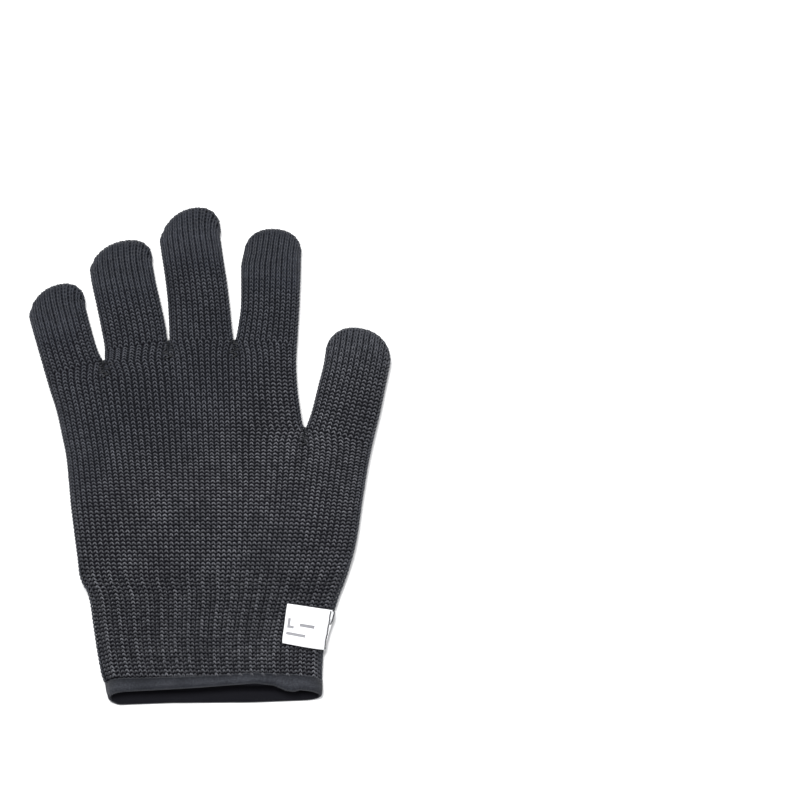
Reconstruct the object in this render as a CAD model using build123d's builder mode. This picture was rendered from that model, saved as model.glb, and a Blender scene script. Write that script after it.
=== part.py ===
from build123d import *
import math
import os

os.makedirs("parts", exist_ok=True)

# A knitted work glove lying palm side up. X runs across the hand towards the thumb, Y runs from
# the cuff to the fingertips, Z is up. The origin is the bottom centre of the bounding box.

# Driving dimensions, mm
WALL = 1.6          # thickness of the knitted wall
PALM_T = 13.0       # height of the empty palm as it lies
FINGER_T = 11.0     # height of a finger tube
THUMB_T = 12.0      # height of the thumb tube
CUFF_T = 12.0       # height of the ribbed cuff
GAP = 0.3           # gap at each knuckle and at the wrist
CUFF_Y = -57.3      # wrist line, where the rib starts
THUMB_CROTCH_Y = 13.1
LITTLE_CROTCH_Y = 45.5
FINGER_CROTCH_Y = 55.4
MOUTH_SLANT = 31.0  # degrees that the mouth leans, so the back of the cuff is longer
HEM_TOP_Y = -107.3  # top edge of the hem, measured on the palm side
HEM_H = 5.5         # height of the overlocked hem
ELASTIC_Y = (-62, -69, -76, -83, -90, -97, -104)

# Outline of the hand and cuff: y, x of the little finger side, x of the thumb side
CUFF_OUTLINE = (
    (-121.0, -49.2, 54.0), (-112.3, -50.8, 54.2), (-100.7, -53.5, 54.2), (-89.0, -55.4, 56.4),
    (-77.4, -56.9, 60.0), (-65.8, -59.5, 63.3), (CUFF_Y, -62.6, 66.8),
)
PALM_OUTLINE = (
    (CUFF_Y, -62.9, 66.9), (-48.4, -64.6, 69.9), (-36.8, -66.1, 72.3), (-13.5, -68.5, 75.7),
    (3.9, -70.9, 79.1), (THUMB_CROTCH_Y, -72.4, 80.9),
)
FOUR_FINGER_OUTLINE = (
    (THUMB_CROTCH_Y, -72.4, 46.0), (27.1, -76.2, 43.3), (38.7, -80.0, 42.3),
    (LITTLE_CROTCH_Y, -81.8, 42.2),
)
THREE_FINGER_OUTLINE = (
    (LITTLE_CROTCH_Y, -51.3, 42.2), (FINGER_CROTCH_Y, -51.8, 42.7),
)

# Each finger: y, left x and right x of its straight part, then the tip's y and x, and the three
# knuckle lines. The last row of the straight part is the shoulder, where the round tip starts.
FINGERS = {
    "index": dict(
        rows=((FINGER_CROTCH_Y, 12.2, 42.8), (64.0, 13.9, 43.4), (73.6, 14.8, 43.8),
              (91.0, 14.9, 44.3), (98.0, 16.2, 44.3)),
        tip=(109.6, 31.8), knuckles=(64.0, 82.5, 97.0)),
    "middle": dict(
        rows=((FINGER_CROTCH_Y, -19.9, 11.6), (64.0, -20.2, 10.8), (85.2, -22.0, 8.5),
              (102.0, -24.2, 5.7), (107.0, -23.8, 4.9)),
        tip=(120.0, -7.6), knuckles=(64.0, 86.0, 103.0)),
    "ring": dict(
        rows=((FINGER_CROTCH_Y, -51.9, -20.4), (63.0, -53.2, -21.5), (79.4, -56.9, -24.9),
              (90.0, -58.3, -27.6), (93.0, -57.9, -28.3)),
        tip=(104.0, -41.9), knuckles=(63.0, 79.0, 92.6)),
    "little": dict(
        rows=((LITTLE_CROTCH_Y, -81.8, -52.0), (50.3, -83.4, -54.2), (61.9, -86.4, -57.6),
              (67.7, -87.7, -59.5), (71.5, -87.2, -60.6)),
        tip=(82.7, -73.8), knuckles=(52.5, 63.8, 73.6)),
}

# Thumb, measured along its own leaning axis
THUMB_LEAN = 13.2                 # degrees from +Y towards +X
THUMB_ORIGIN = (68.7, 33.0)
THUMB_ROWS = ((-17.0, 16.7), (-10.0, 16.6), (9.0, 16.4), (16.0, 15.8))  # along axis, half width
THUMB_TIP = 29.2
THUMB_KNUCKLES = (-10.0, 9.0)

# Size label and its seam
LABEL_W, LABEL_H, LABEL_T = 21.0, 20.0, 0.5
LABEL_CENTRE = (46.6, -82.9)
LABEL_TURN = -8.0


def rows_at(rows, y):
    """Left and right x of an outline at height y, between its two nearest rows."""
    for (y0, a0, b0), (y1, a1, b1) in zip(rows, rows[1:]):
        if y <= y1 or y1 == rows[-1][0]:
            f = (y - y0) / (y1 - y0)
            return a0 + f * (a1 - a0), b0 + f * (b1 - b0)


def across(y):
    """Section plane across the hand at y: local x is X and local y is Z."""
    return Plane(origin=(0, y, 0), x_dir=(1, 0, 0), z_dir=(0, -1, 0))


def across_thumb(s):
    """Section plane square to the thumb, s along its axis."""
    a = math.radians(THUMB_LEAN)
    ox, oy = THUMB_ORIGIN
    return Plane(
        origin=(ox + s * math.sin(a), oy + s * math.cos(a), 0),
        x_dir=(math.cos(a), -math.sin(a), 0), z_dir=(-math.sin(a), -math.cos(a), 0),
    )


def flat_round(plane, x0, x1, z0, z1, inset):
    """One flattened section of the tube, moved inwards by inset."""
    w, h = x1 - x0 - 2 * inset, z1 - z0 - 2 * inset
    with BuildSketch(plane) as section:
        with Locations(((x0 + x1) / 2, (z0 + z1) / 2)):
            RectangleRounded(w, h, 0.47 * min(w, h))
    return section.sketch.face()


def skin(stations, inset):
    """The sections of stations of (plane, x0, x1, z0, z1), all moved inwards by inset."""
    return [flat_round(*station, inset) for station in stations]


def knitted_tube(stations, wall=WALL):
    """A hollow flattened tube through its stations, open at both ends."""
    with BuildPart() as tube:
        loft(skin(stations, 0), ruled=True)
        loft(skin(stations, wall), ruled=True, mode=Mode.SUBTRACT)
    return tube


def knitted_tip(stations, wall=WALL):
    """As knitted_tube, but the last station closes the end."""
    with BuildPart() as tip:
        loft(skin(stations, 0), ruled=True)
        loft(skin(stations[:-1], wall), ruled=True, mode=Mode.SUBTRACT)
    return tip


def save(piece, name):
    piece.part.label = name
    export_step(piece.part, f"parts/{name}.step")


# Shell of the hand -----------------------------------------------------------------------------

def outline_stations(rows, y0, y1, t0, t1):
    """Stations of an outline between y0 and y1, the height going from t0 to t1."""
    ys = [y0] + [r[0] for r in rows if y0 + 0.5 < r[0] < y1 - 0.5] + [y1]
    out = []
    for y in ys:
        x0, x1 = rows_at(rows, y)
        out.append((across(y), x0, x1, 0, t0 + (t1 - t0) * (y - y0) / (y1 - y0)))
    return out


palm = knitted_tube(outline_stations(
    PALM_OUTLINE, CUFF_Y + GAP / 2, THUMB_CROTCH_Y, CUFF_T, PALM_T))
save(palm, "palm_five_finger_knit")

palm_four = knitted_tube(outline_stations(
    FOUR_FINGER_OUTLINE, THUMB_CROTCH_Y + 0.05, LITTLE_CROTCH_Y, PALM_T, 12.2))
save(palm_four, "palm_four_finger_knit")

# Crotch points, where the reinforcing stitches close the gap between two tubes
CROTCHES = (
    (47.5, THUMB_CROTCH_Y + 1.6), (11.95, FINGER_CROTCH_Y + 1.6), (-20.1, FINGER_CROTCH_Y + 1.6),
    (-52.0, LITTLE_CROTCH_Y + 1.6),
)
KNOT_R, KNOT_H = 1.2, 6.0

stations = outline_stations(
    THREE_FINGER_OUTLINE, LITTLE_CROTCH_Y + 0.05, FINGER_CROTCH_Y, 12.2, 11.6)
with BuildPart() as palm_three:
    loft(skin(stations, 0), ruled=True)
    loft(skin(stations, WALL), ruled=True, mode=Mode.SUBTRACT)
    with Locations((*CROTCHES[3], FINGER_T / 2)):
        Cylinder(KNOT_R + 0.15, KNOT_H + 0.3, mode=Mode.SUBTRACT)
save(palm_three, "palm_three_finger_knit")

# Fingers ---------------------------------------------------------------------------------------

for name, f in FINGERS.items():
    rows, (tip_y, tip_x), knuckles = f["rows"], f["tip"], f["knuckles"]
    t_base = 12.2 if name == "little" else 11.6
    base = rows[0][0] + 0.05

    # base stub, fixed to the palm, with room for the crotch stitches at its sides
    stations = outline_stations(rows, base, knuckles[0] - GAP / 2, t_base, FINGER_T)
    with BuildPart() as stub:
        loft(skin(stations, 0), ruled=True)
        loft(skin(stations, WALL), ruled=True, mode=Mode.SUBTRACT)
        with Locations(*[(x, y, FINGER_T / 2) for x, y in CROTCHES[1:]]):
            Cylinder(KNOT_R + 0.15, KNOT_H + 0.3, mode=Mode.SUBTRACT)
    save(stub, f"{name}_finger_base_knit")

    # proximal and middle segments
    for part_name, y0, y1 in (("proximal", knuckles[0], knuckles[1]),
                              ("middle", knuckles[1], knuckles[2])):
        segment = knitted_tube(outline_stations(
            rows, y0 + GAP / 2, y1 - GAP / 2, FINGER_T, FINGER_T))
        save(segment, f"{name}_finger_{part_name}_knit")

    # rounded tip
    sy, sx0, sx1 = rows[-1]
    y0 = knuckles[2] + GAP / 2
    stations = outline_stations(rows, min(y0, sy - 0.3), sy, FINGER_T, FINGER_T)
    if y0 > sy - 0.3:
        x0, x1 = rows_at(rows, y0)
        stations = [(across(y0), x0, x1, 0, FINGER_T)]
    for k in (0.45, 0.75, 0.92, 1.0):
        y = sy + k * (tip_y - sy)
        spread = math.sqrt(1 - (0.965 * k) ** 2)
        mid = (sx0 + sx1) / 2 + k * k * (tip_x - (sx0 + sx1) / 2)
        half = (sx1 - sx0) / 2 * spread
        height = FINGER_T * (0.35 + 0.65 * math.sqrt(1 - (0.95 * k) ** 2))
        z0 = 0.12 * FINGER_T * k * k
        if y > stations[-1][0].origin.Y + 0.5:
            stations.append((across(y), mid - half, mid + half, z0, z0 + height))
    # the inside ends one wall short of the outside
    save(knitted_tip(stations), f"{name}_fingertip_knit")

# Thumb -----------------------------------------------------------------------------------------


def thumb_half(s):
    for (s0, h0), (s1, h1) in zip(THUMB_ROWS, THUMB_ROWS[1:]):
        if s <= s1:
            return h0 + (h1 - h0) * (s - s0) / (s1 - s0)


k0, k1 = THUMB_KNUCKLES
base_y = THUMB_CROTCH_Y + 0.05
stub_stations = [
    (across(base_y), 46.7, 80.9, 0, PALM_T),
    (across_thumb(k0 - GAP / 2), -thumb_half(k0), thumb_half(k0), 0, THUMB_T),
]
with BuildPart() as thumb_base:
    loft(skin(stub_stations, 0), ruled=True)
    loft(skin(stub_stations, WALL), ruled=True, mode=Mode.SUBTRACT)
    with Locations((*CROTCHES[0], FINGER_T / 2)):
        Cylinder(KNOT_R + 0.15, KNOT_H + 0.3, mode=Mode.SUBTRACT)
save(thumb_base, "thumb_base_knit")

segment = knitted_tube([
    (across_thumb(s), -thumb_half(s), thumb_half(s), 0, THUMB_T)
    for s in (k0 + GAP / 2, k1 - GAP / 2)
])
save(segment, "thumb_proximal_knit")

stations = [
    (across_thumb(s), -thumb_half(s), thumb_half(s), 0, THUMB_T) for s in (k1 + GAP / 2, 16.0)
]
for k in (0.45, 0.75, 0.92, 1.0):
    s = 16.0 + k * (THUMB_TIP - 16.0)
    half = thumb_half(16.0) * math.sqrt(1 - (0.965 * k) ** 2)
    height = THUMB_T * (0.35 + 0.65 * math.sqrt(1 - (0.95 * k) ** 2))
    z0 = 0.12 * THUMB_T * k * k
    stations.append((across_thumb(s), -half, half, z0, z0 + height))
save(knitted_tip(stations), "thumb_tip_knit")

# Crotch stitches: four short bundles in one node
with BuildPart() as crotch_stitches:
    with Locations(*[(x, y, FINGER_T / 2) for x, y in CROTCHES]):
        Cylinder(KNOT_R, KNOT_H)
    chamfer(crotch_stitches.edges().filter_by(GeomType.CIRCLE), 0.4)
save(crotch_stitches, "crotch_reinforcing_stitches")

# Cuff ------------------------------------------------------------------------------------------
# The mouth leans: each slanted plane is given by its y on the palm side of the cuff.


def mouth_plane(y_top):
    a = math.radians(MOUTH_SLANT)
    return Plane(origin=(0, y_top, CUFF_T), x_dir=(1, 0, 0),
                 z_dir=(0, math.cos(a), -math.sin(a)))


cuff_stations = outline_stations(CUFF_OUTLINE, -121.0, CUFF_Y - GAP / 2, CUFF_T, CUFF_T)

with BuildPart() as cuff:
    loft(skin(cuff_stations, 0), ruled=True)
    loft(skin(cuff_stations, WALL), ruled=True, mode=Mode.SUBTRACT)
    split(bisect_by=mouth_plane(HEM_TOP_Y), keep=Keep.TOP)
save(cuff, "cuff_rib_knit")

with BuildPart() as hem:
    loft(skin(cuff_stations, 0), ruled=True)
    loft(skin(cuff_stations, WALL + 0.3), ruled=True, mode=Mode.SUBTRACT)
    split(bisect_by=mouth_plane(HEM_TOP_Y - 0.1), keep=Keep.BOTTOM)
    split(bisect_by=mouth_plane(HEM_TOP_Y - HEM_H), keep=Keep.TOP)
save(hem, "cuff_overlocked_hem")

# Elastic threads laid in behind the ribs, as separate closed hoops
hoops = []
for y in ELASTIC_Y:
    x0, x1 = rows_at(CUFF_OUTLINE, y)
    x0, x1 = x0 + 0.5, x1 - 0.5
    with BuildPart() as hoop:
        extrude(flat_round(across(y), x0, x1, 0, CUFF_T, WALL + 0.1), amount=0.7)
        extrude(flat_round(across(y), x0, x1, 0, CUFF_T, WALL + 0.8), amount=0.7,
                mode=Mode.SUBTRACT)
    hoops.append(hoop.part)
with BuildPart() as elastic:
    add(hoops)
save(elastic, "cuff_elastic_threads")

# Size label: a tape that follows the cuff's outside, with a seam along its outer edge ----------


def layer_over_cuff(low, high):
    """The layer between two distances outside the cuff."""
    with BuildPart() as layer:
        loft(skin(cuff_stations, -high), ruled=True)
        loft(skin(cuff_stations, -low), ruled=True, mode=Mode.SUBTRACT)
    return layer


turn = math.radians(LABEL_TURN)
label_plane = Plane(
    origin=(*LABEL_CENTRE, 5), x_dir=(math.cos(turn), math.sin(turn), 0), z_dir=(0, 0, 1))

label_layer = layer_over_cuff(0.2, 0.2 + LABEL_T)
with BuildPart() as size_label:
    add(label_layer.part)
    with BuildSketch(label_plane):
        Rectangle(LABEL_W, LABEL_H)
    extrude(amount=12, mode=Mode.INTERSECT)
save(size_label, "size_label")

seam_layer = layer_over_cuff(0.3 + LABEL_T, 0.65 + LABEL_T)
with BuildPart() as label_stitches:
    add(seam_layer.part)
    with BuildSketch(label_plane):
        with Locations((LABEL_W / 2 - 3.2, 0)):
            with GridLocations(0, 2.4, 1, 8):
                Rectangle(0.6, 1.7)
    extrude(amount=12, mode=Mode.INTERSECT)
save(label_stitches, "size_label_stitches")
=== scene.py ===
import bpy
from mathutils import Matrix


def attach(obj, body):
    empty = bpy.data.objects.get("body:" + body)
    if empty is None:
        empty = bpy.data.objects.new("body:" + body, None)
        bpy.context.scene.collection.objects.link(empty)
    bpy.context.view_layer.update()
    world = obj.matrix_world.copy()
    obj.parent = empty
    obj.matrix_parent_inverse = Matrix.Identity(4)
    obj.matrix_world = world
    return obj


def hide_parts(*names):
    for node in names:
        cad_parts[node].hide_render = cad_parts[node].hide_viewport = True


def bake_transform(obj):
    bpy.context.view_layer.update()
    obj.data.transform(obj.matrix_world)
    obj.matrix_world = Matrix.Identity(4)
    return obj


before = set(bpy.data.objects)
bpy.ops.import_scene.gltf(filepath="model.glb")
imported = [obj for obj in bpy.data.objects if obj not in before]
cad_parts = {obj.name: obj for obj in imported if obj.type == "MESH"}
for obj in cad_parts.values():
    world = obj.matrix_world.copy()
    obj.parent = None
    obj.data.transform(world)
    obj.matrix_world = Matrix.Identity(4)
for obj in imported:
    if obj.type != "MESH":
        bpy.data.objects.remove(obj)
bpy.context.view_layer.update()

import math
from collections import namedtuple
from math import pi, tau

import bpy
import numpy as np
from mathutils import Vector

rng = np.random.default_rng(7)

# ---- Shape of the glove, in millimetres
# u counts wales (columns of stitches) across one face from the little finger side, v counts
# courses (rows of stitches) from the wrist towards the fingertips.
WALES = {"little": 10, "ring": 10, "middle": 11, "index": 11, "thumb": 12}
# at a fork the neighbouring tubes share needles, so a tube has more wales than its palm strip
TUBE_WALES = {"little": 11, "ring": 12, "middle": 12, "index": 12, "thumb": 13}
ORDER = ["little", "ring", "middle", "index", "thumb"]
UMAX = sum(WALES.values())  # wales on one face of the palm

V_THUMB, V_LITTLE, V_FINGER = 39, 57, 62  # courses at the three levels of the forks
V_MOUTH = -27  # last course of the rib before the hem
WRIST_Y, WRIST_L, WRIST_R = -57.3, -63.2, 66.9

# outer edges of the palm and cuff: y, x
EDGE_L = [
    (-122, -48.6), (-112.3, -50.6), (-106.5, -52.3), (-94.8, -54.4), (-83, -56.2), (-71.6, -57.8),
    (-66, -59.3), (-61.5, -61.8), (-57.3, -63.2), (-48.4, -64.6), (-36.8, -66.1), (-25.2, -67.5),
    (-13.5, -68.5), (-1.9, -69.6), (9.7, -71.9), (21.3, -74.5), (32.9, -78.2), (44.5, -81.6),
    (56.1, -85.0), (66, -87.6)]
EDGE_R = [
    (-122, 54.0), (-112, 54.7), (-106.7, 54.3), (-94.8, 54.9), (-83, 57.9), (-71.6, 61.4),
    (-60, 65.8), (-54.2, 68.0), (-48.4, 69.9), (-36.8, 72.3), (-25.2, 73.9), (-13.5, 75.7),
    (-1.9, 77.7), (9.7, 80.3), (21.3, 83.1), (32.9, 85.5), (43.5, 87.7)]
# inner edges of the finger tubes: y, x
EDGES = {
    ("little", 1): [(45.5, -51.6), (50.3, -54.0), (56.1, -55.9), (61.9, -57.5),
        (72.0, -60.2)],
    ("ring", 0): [(45.5, -51.3), (50.3, -51.3), (61.9, -53.1), (73.6, -55.5),
        (85.2, -57.8), (89, -58.3)],
    ("ring", 1): [(55.3, -20.3), (61.9, -21.2), (73.6, -23.6), (85.2, -26.3),
        (93.5, -27.9)],
    ("middle", 0): [(55.3, -19.9), (61.9, -20.1), (73.6, -20.7), (85.2, -22.0),
        (96.8, -23.6), (102.5, -24.4)],
    ("middle", 1): [(55.6, 11.7), (61.9, 10.9), (73.6, 9.8), (85.2, 8.4), (96.8, 6.5),
        (105.8, 5.1)],
    ("index", 0): [(55.6, 12.1), (61.9, 13.3), (73.6, 14.7), (91, 14.9), (99, 16.6)],
    ("index", 1): [(13.1, 46.0), (15.5, 45.2), (21.3, 44.2), (32.9, 42.8), (44.5, 42.2),
        (56.1, 42.8), (73.6, 43.8), (91, 44.3), (97, 44.3)],
    ("thumb", 0): [(13.1, 46.3), (21.3, 49.1), (32.9, 52.0), (44.5, 54.9), (49, 55.6)],
}
# v, y of the lines between the strips, below and above the forks
B_Y = {k: [(V_MOUTH, -110.9), (0, WRIST_Y), *keys] for k, keys in enumerate((
    [(19, -21.8), (39, 10.2), (57, 38.3)],
    [(19, -20.8), (39, 12.6), (57, 45.5), (62, 50.5)],
    [(19, -20.6), (39, 13.2), (57, 46.8), (62, 55.3)],
    [(19, -20.6), (39, 13.3), (57, 47.0), (62, 55.6)],
    [(19, -21.0), (39, 13.1), (57, 45.3), (62, 53.6)],
    [(19, -24.0), (39, 5.8)]))}
# inner lines: share of the width and slope at the wrist, then x, slope and y at the fork
B_X = {1: (0.190, -0.08, -51.4, -0.15, 45.5), 2: (0.379, 0.0, -20.1, -0.11, 55.3),
       3: (0.586, 0.07, 11.9, -0.02, 55.6), 4: (0.776, 0.15, 46.1, 0.06, 13.1)}
# fingers: first course, courses up to the shoulder, y of its left and right end, and the tip
Tube = namedtuple("Tube", "v0 n shoulders tip")
TUBES = {
    "little": Tube(V_LITTLE, 16, (66.0, 72.0), (-73.4, 82.8)),
    "ring": Tube(V_FINGER, 22, (88.5, 93.5), (-41.6, 104.0)),
    "middle": Tube(V_FINGER, 28, (102.5, 105.8), (-7.3, 120.0)),
    "index": Tube(V_FINGER, 25, (99.0, 97.0), (32.0, 109.7)),
    "thumb": Tube(V_THUMB, 21, (49.0, 43.5), (73.4, 61.6)),
}
SKIN = 0.75  # the yarn stands this far out of the middle surface at the outline
INSET = 0.72  # the same at the table and on top
PUFF = (2.25, 3.2)  # roundness of the palm side and of the back, which lies flatter
UP = (1, -1)
TIP_ROUND = 2.2  # roundness of the fingertips seen from above
COURSE = 1.985  # height of a course in the cuff
DOME = 14  # most courses above a finger's shoulder
NS = 81  # samples across a strip while its arc length is measured
SUB_U = 6  # grid columns per wale
SUB_V = 3  # grid rows per course


def hermite(t, h, a, slope_a, b, slope_b):
    """Cubic from a to b over a length h, with t running 0 to 1."""
    return ((2 * t**3 - 3 * t**2 + 1) * a + (t**3 - 2 * t**2 + t) * h * slope_a
            + (-2 * t**3 + 3 * t**2) * b + (t**3 - t**2) * h * slope_b)


def pchip(keys, q):
    """Smooth monotone interpolation through (x, y) keys, linear outside them."""
    x, y = np.asarray(keys, float).T
    q = np.asarray(q, float)
    h = np.diff(x)
    d = np.diff(y) / h
    m = np.empty_like(y)
    m[0], m[-1] = d[0], d[-1]
    if len(x) > 2:
        w1 = 2 * h[1:] + h[:-1]
        w2 = h[1:] + 2 * h[:-1]
        same = d[:-1] * d[1:] > 0
        safe0 = np.where(same, d[:-1], 1.0)
        safe1 = np.where(same, d[1:], 1.0)
        m[1:-1] = np.where(same, (w1 + w2) / (w1 / safe0 + w2 / safe1), 0.0)
    i = np.clip(np.searchsorted(x, q, side="right") - 1, 0, len(x) - 2)
    t = (q - x[i]) / h[i]
    out = hermite(np.clip(t, 0, 1), h[i], y[i], m[i], y[i + 1], m[i + 1])
    return out + np.where(t < 0, m[0] * h[i] * t, 0) + np.where(t > 1, m[-1] * h[i] * (t - 1), 0)


def smooth(a, b, x):
    t = np.clip((np.asarray(x, float) - a) / (b - a), 0, 1)
    return t * t * (3 - 2 * t)


def unit(v):
    return v / np.maximum(np.linalg.norm(v, axis=-1, keepdims=True), 1e-9)


def lengths(line):
    """Distance along a polyline at each of its points."""
    return np.concatenate([[0], np.cumsum(np.linalg.norm(np.diff(line, axis=0), axis=1))])


def resample(at, knots, line):
    """Points on a polyline whose own points lie at the given knots."""
    return np.stack([np.interp(at, knots, axis) for axis in line.T], -1)


def line_between(k, v):
    """Point (x, y) at course v of the line between strips k-1 and k."""
    y = pchip(B_Y[k], v)
    edge_l, edge_r = pchip(EDGE_L, y), pchip(EDGE_R, y)
    if k == 0:
        return np.stack([edge_l + SKIN, y], -1)
    if k == 5:
        return np.stack([edge_r - SKIN, y], -1)
    share, slope0, x1, slope1, y1 = B_X[k]
    h = y1 - WRIST_Y
    t = np.clip((y - WRIST_Y) / h, 0, 1)
    x = hermite(t, h, WRIST_L + share * (WRIST_R - WRIST_L), slope0, x1, slope1)
    # in the cuff, an even share of the width
    x = np.where(y < WRIST_Y, edge_l + share * (edge_r - edge_l), x)
    if k == 4:       # above the thumb's fork this is the index finger's free edge
        x = np.where(y > y1, pchip(EDGES[("index", 1)], y) - SKIN, x)
    if k == 1:       # above the little finger's fork, the ring finger's
        x = np.where(y > y1, pchip(EDGES[("ring", 0)], y) + SKIN, x)
    return np.stack([x, y], -1)


def shoulder(name):
    """The course where a finger's round tip begins."""
    return TUBES[name].v0 + TUBES[name].n


def tube_edge(name, side, v):
    """Point on a free edge of a finger tube: side 0 is its little finger side, 1 the other."""
    tube = TUBES[name]
    k = ORDER.index(name) + side
    y0 = pchip(B_Y[k], min(tube.v0, B_Y[k][-1][0]))
    y = y0 + (tube.shoulders[side] - y0) * (np.asarray(v, float) - tube.v0) / tube.n
    x = pchip(EDGES.get((name, side), EDGE_R if side else EDGE_L), y)
    return np.stack([x - SKIN if side else x + SKIN, y], -1)


def tube_mid(name, v):
    return (tube_edge(name, 0, v) + tube_edge(name, 1, v)) / 2


def tip_axes(name):
    """A finger's shoulder line, as its middle, half width and direction, and the tip from it."""
    v = shoulder(name)
    mid = tube_mid(name, v)
    span = tube_edge(name, 1, v) - tube_edge(name, 0, v)
    w = np.linalg.norm(span) / 2
    return mid, w, span / (2 * w), np.array(TUBES[name].tip) - mid


def fork_open(k, v):
    """How far the fork on line k has opened: 0 in the palm, 1 at the fork and beyond."""
    level = {1: V_LITTLE, 2: V_FINGER, 3: V_FINGER, 4: V_THUMB}[k]
    return smooth(level - 6.5, level, v) ** 1.5


def half_height(v, thumb=False):
    """Half the height of the middle surface at course v."""
    keys = [(-30, 11.6), (-12, 11.9), (0, 12.2), (14, 13.0), (39, 13.0), (57, 11.9), (62, 11.4),
            (68, 11.0), (100, 10.8)]
    if thumb:
        keys = [(32, 13.0), (42, 12.6), (50, 12.1), (80, 11.8)]
    return (pchip(keys, v) - 2 * INSET) / 2


def bulge(d, r, p):
    """Height of a rounded edge at distance d from it: 0 there, 1 from distance r on."""
    t = np.clip(1 - d / r, 0, 1)
    return np.maximum(1 - t**p, 0) ** (1 / p)


def strip_face(side, left, right, opened, h, cols):
    """One face of a strip with its columns evenly spaced along the cloth, and the shares of the
    width where the columns of the last row lie."""
    s = np.linspace(0, 1, NS)
    span = right - left
    w = np.linalg.norm(span, axis=1)[:, None] / 2
    round_l, round_r = (1 - free[:, None] * (1 - bulge(2 * w * d[None], w, PUFF[side]))
                        for free, d in zip(opened, (s, 1 - s)))
    z = (h + INSET)[:, None] + UP[side] * h[:, None] * (round_l * round_r)
    xy = left[:, None] + span[:, None] * s[None, :, None]
    out = []
    for line in np.concatenate([xy, z[..., None]], -1):
        arc = lengths(line)
        share = np.interp(cols * arc[-1], arc, s)
        out.append(resample(share, s, line))
    return np.stack(out), share


def dome_face(name, side, share, h):
    """The rows above a finger's shoulder, and the number of courses left in each column."""
    mid, w, e, tip = tip_axes(name)
    far = np.linalg.norm(tip)
    ax = mid - tube_mid(name, shoulder(name) - 3)
    ax /= np.linalg.norm(ax)
    # how much of the way to the tip leads sideways, and how much straight on
    te, ta = np.linalg.solve(np.stack([e, ax], 1), tip / far)
    far -= SKIN
    slant = 0.75 * te * far / w
    p, q = PUFF[side], TIP_ROUND
    way = np.sin(np.linspace(0, 1, 60) * pi / 2)
    arcs, lines = [], []
    for x0 in 2 * share - 1:
        # the wale runs on nearly straight from the shoulder to the outline of the tip
        x1 = x0 - slant * (1 - x0 * x0) ** 2
        y1 = far * max(1 - abs(x1) ** q, 0) ** (1 / q)
        y, x = y1 * way, x0 + (x1 - x0) * way**2
        rho = np.clip((np.abs(x) ** q + (y / far) ** q) ** (1 / q), 0, 1)
        g = np.maximum(1 - rho**p, 0) ** (1 / p)
        g[-1] = 0
        xy = mid + (x * w + te * y1 * way**2)[:, None] * e + (ta * y)[:, None] * ax
        lines.append(np.concatenate([xy, (h + INSET + UP[side] * h * g)[:, None]], 1))
        arcs.append(lengths(lines[-1]))
    # each wale ends with a whole stitch on the outline of the tip
    pitch = tube_pitch(name)
    whole = [max(round(arc[-1] / pitch), 1.0) for arc in arcs[SUB_U // 2::SUB_U]]
    number = np.interp(np.arange(len(share)) / SUB_U - 0.5, np.arange(len(whole)), whole)
    extra = np.arange(1, DOME * SUB_V + 1) / SUB_V
    out = [resample(extra * arc[-1] / n, arc, line) for arc, line, n in zip(arcs, lines, number)]
    return np.stack(out, 1), number


def settle(ring, rows):
    """Leans the mouth and lays the long low waves of a soft cloth into the surface."""
    # the back of the cuff is longer than the palm side
    h = half_height(rows)[:, None]
    lean = 3.7 * smooth(0, V_MOUTH, rows)[:, None] * (rows < 0)[:, None]
    ring[..., 1] += lean * (ring[..., 2] - h - INSET) / h
    x, y, z = ring[..., 0], ring[..., 1], ring[..., 2]
    wave = (0.35 * np.sin(x / 17.0 + 0.6) * np.cos(y / 23.0 - 0.4)
            + 0.22 * np.sin(x / 9.0 - y / 14.0 + 1.3) + 0.16 * np.sin(y / 6.3 + x / 21.0))
    # a pucker above the hem, where the elastic has gathered the ribs
    across = np.exp(-((x + 17) / 15) ** 2)
    dip = y + 98.5 - 0.006 * (x + 17) ** 2
    wave += across * (0.75 * np.exp(-((dip - 3.6) / 2.2) ** 2) - 1.5 * np.exp(-(dip / 1.6) ** 2))
    ring[..., 2] += wave * smooth(3.0, 9.0, z)


def zone_grid(names, v_lo, v_hi=None):
    """The middle surface of a tube made of the named strips between two courses, or of one finger
    up to its tip: a closed ring of columns, palm side first from the little finger side, then the
    back, and rows along v."""
    dome = v_hi is None
    v0, v1 = v_lo - 2, shoulder(names[0]) if dome else v_hi + 2
    rows = np.arange(int(round((v1 - v0) * SUB_V)) + 1) / SUB_V + v0
    faces, shares, reach = ([], []), [], None
    for name in names:
        k = ORDER.index(name)
        left = tube_edge(name, 0, rows) if dome else line_between(k, rows)
        right = tube_edge(name, 1, rows) if dome else line_between(k + 1, rows)
        opened = [np.ones_like(rows) if name == end else fork_open(line, rows)
                  for end, line in ((names[0], k), (names[-1], k + 1))]
        h = half_height(rows, dome and name == "thumb")
        n = (TUBE_WALES if dome else WALES)[name] * SUB_U
        cols = np.linspace(0, 1, n + 1)[:n + (name == names[-1])]
        for side in (0, 1):
            face, share = strip_face(side, left, right, opened, h, cols)
            faces[side].append(face)
            shares.append(share)
    front, back = (np.concatenate(face, 1) for face in faces)
    if dome:
        tips, reach = zip(*(dome_face(name, side, shares[side], h[-1]) for side in (0, 1)))
        front, back = (np.concatenate(pair) for pair in zip((front, back), tips))
        rows = np.concatenate([rows, v1 + np.arange(1, DOME * SUB_V + 1) / SUB_V])
    ring = np.concatenate([front, back[:, ::-1][:, 1:-1]], 1)
    settle(ring, rows)
    return Grid(rows, ring, v1, reach)


def tube_pitch(name):
    """Height of one course at a finger's shoulder, in mm."""
    mid = tube_mid(name, np.array([TUBES[name].v0, shoulder(name)], float))
    return float(np.linalg.norm(mid[1] - mid[0])) / TUBES[name].n


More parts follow.
